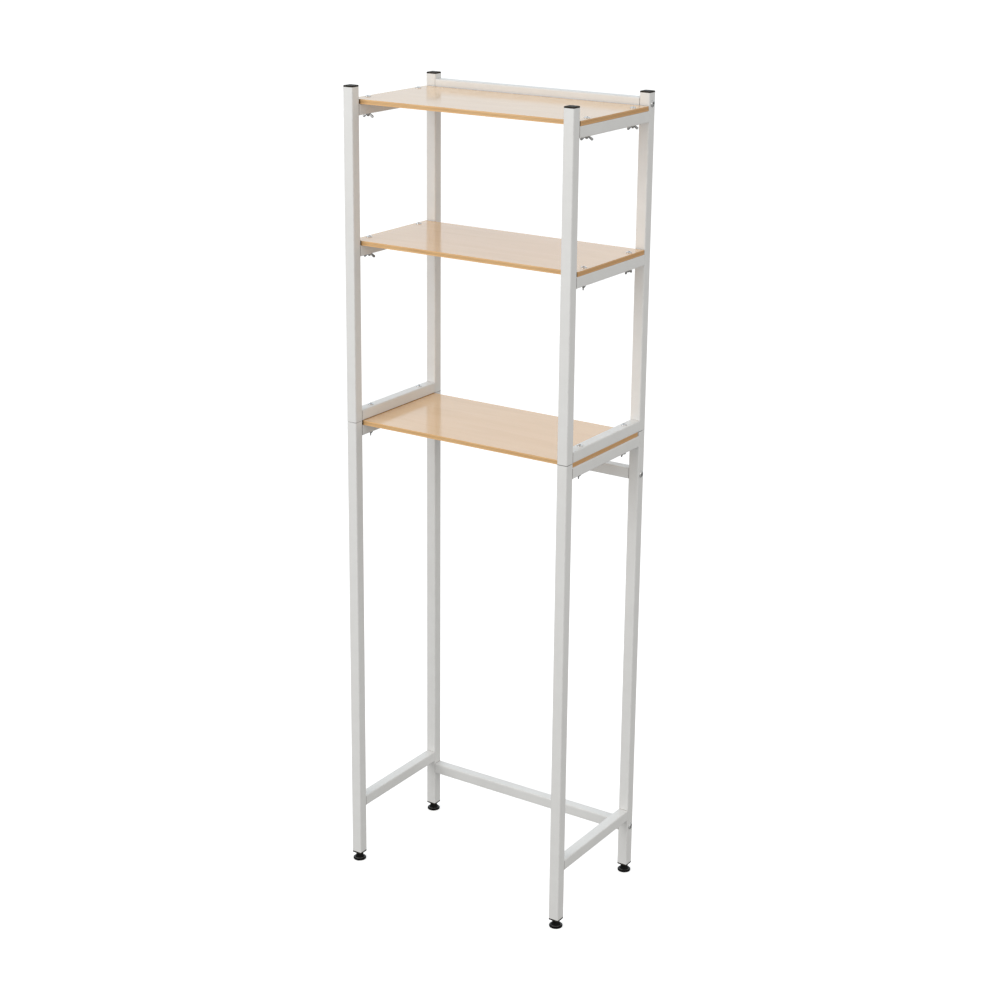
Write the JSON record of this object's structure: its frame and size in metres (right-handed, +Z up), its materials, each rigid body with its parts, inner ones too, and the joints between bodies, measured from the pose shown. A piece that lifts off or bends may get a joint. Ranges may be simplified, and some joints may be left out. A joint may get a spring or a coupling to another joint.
{
  "type": "over the toilet storage rack",
  "caption": "Tall narrow rack of white square steel tube with bolted wood boards above an open bay for a toilet, on black levelling feet.",
  "frame": {"origin": "centre of the rack's footprint, at floor level", "axes": "+X to the right along the width, +Y from the open front to the back rails, +Z up"},
  "size_m": [0.5162, 0.299, 1.627],
  "materials": {
    "powder_coat": "white powder coat, satin",
    "board": "light wood board, semi-gloss",
    "zinc_plate": "zinc plated steel",
    "plain_steel": "plain steel, inside the tubes",
    "black_plastic": "black moulded plastic, satin",
    "foot_plastic": "black moulded plastic, semi-gloss"
  },
  "bodies": {
    "frame": {"upper_post_front_left": "powder_coat", "upper_post_front_right": "powder_coat", "upper_post_rear_left": "powder_coat", "upper_post_rear_right": "powder_coat", "lower_leg_front_left": "powder_coat", "lower_leg_front_right": "powder_coat", "lower_leg_rear_left": "powder_coat", "lower_leg_rear_right": "powder_coat", "top_shelf_rail_left": "powder_coat", "top_shelf_rail_right": "powder_coat", "middle_shelf_rail_left": "powder_coat", "middle_shelf_rail_right": "powder_coat", "clamp_rail_left": "powder_coat", "clamp_rail_right": "powder_coat", "support_rail_left": "powder_coat", "support_rail_right": "powder_coat", "bottom_side_rail_left": "powder_coat", "bottom_side_rail_right": "powder_coat", "top_back_rail": "powder_coat", "middle_back_rail": "powder_coat", "bottom_back_rail": "powder_coat", "post_joiner_front_left": "plain_steel", "post_joiner_front_right": "plain_steel", "post_joiner_rear_left": "plain_steel", "post_joiner_rear_right": "plain_steel", "post_cap_front_left": "black_plastic", "post_cap_front_right": "black_plastic", "post_cap_rear_left": "black_plastic", "post_cap_rear_right": "black_plastic", "foot_insert_front_left": "black_plastic", "foot_insert_front_right": "black_plastic", "foot_insert_rear_left": "black_plastic", "foot_insert_rear_right": "black_plastic", "back_rail_plugs": "plain_steel", "back_rail_screws": "zinc_plate", "shelf_bolts_top": "zinc_plate", "shelf_bolts_middle": "zinc_plate", "shelf_bolts_lower": "zinc_plate", "wing_nuts_top": "zinc_plate", "wing_nuts_middle": "zinc_plate", "wing_nuts_lower": "zinc_plate", "top_board": "board", "middle_board": "board", "lower_board": "board"},
    "foot_stud_front_left": {"foot_stud_front_left": "zinc_plate"},
    "foot_front_left": {"foot_base_front_left": "foot_plastic"},
    "foot_stud_front_right": {"foot_stud_front_right": "zinc_plate"},
    "foot_front_right": {"foot_base_front_right": "foot_plastic"},
    "foot_stud_rear_left": {"foot_stud_rear_left": "zinc_plate"},
    "foot_rear_left": {"foot_base_rear_left": "foot_plastic"},
    "foot_stud_rear_right": {"foot_stud_rear_right": "zinc_plate"},
    "foot_rear_right": {"foot_base_rear_right": "foot_plastic"}
  },
  "joints": [
    {"name": "foot_travel_front_left", "type": "slide", "parent": "frame", "child": "foot_stud_front_left", "axis": [0, 0, -1], "range_m": [0, 0.0126]},
    {"name": "foot_turn_front_left", "type": "hinge", "parent": "foot_stud_front_left", "child": "foot_front_left", "pos_m": [-0.244, -0.136, 0], "axis": [0, 0, -1], "range_deg": [0, 3600]},
    {"name": "foot_travel_front_right", "type": "slide", "parent": "frame", "child": "foot_stud_front_right", "axis": [0, 0, -1], "range_m": [0, 0.0126]},
    {"name": "foot_turn_front_right", "type": "hinge", "parent": "foot_stud_front_right", "child": "foot_front_right", "pos_m": [0.244, -0.136, 0], "axis": [0, 0, -1], "range_deg": [0, 3600]},
    {"name": "foot_travel_rear_left", "type": "slide", "parent": "frame", "child": "foot_stud_rear_left", "axis": [0, 0, -1], "range_m": [0, 0.0126]},
    {"name": "foot_turn_rear_left", "type": "hinge", "parent": "foot_stud_rear_left", "child": "foot_rear_left", "pos_m": [-0.244, 0.136, 0], "axis": [0, 0, -1], "range_deg": [0, 3600]},
    {"name": "foot_travel_rear_right", "type": "slide", "parent": "frame", "child": "foot_stud_rear_right", "axis": [0, 0, -1], "range_m": [0, 0.0126]},
    {"name": "foot_turn_rear_right", "type": "hinge", "parent": "foot_stud_rear_right", "child": "foot_rear_right", "pos_m": [0.244, 0.136, 0], "axis": [0, 0, -1], "range_deg": [0, 3600]}
  ],
  "couplings": [
    {"joint": "foot_travel_front_left", "follows": "foot_turn_front_left", "m_per_rad": 0.00019894},
    {"joint": "foot_travel_front_right", "follows": "foot_turn_front_right", "m_per_rad": 0.00019894},
    {"joint": "foot_travel_rear_left", "follows": "foot_turn_rear_left", "m_per_rad": 0.00019894},
    {"joint": "foot_travel_rear_right", "follows": "foot_turn_rear_right", "m_per_rad": 0.00019894}
  ]
}
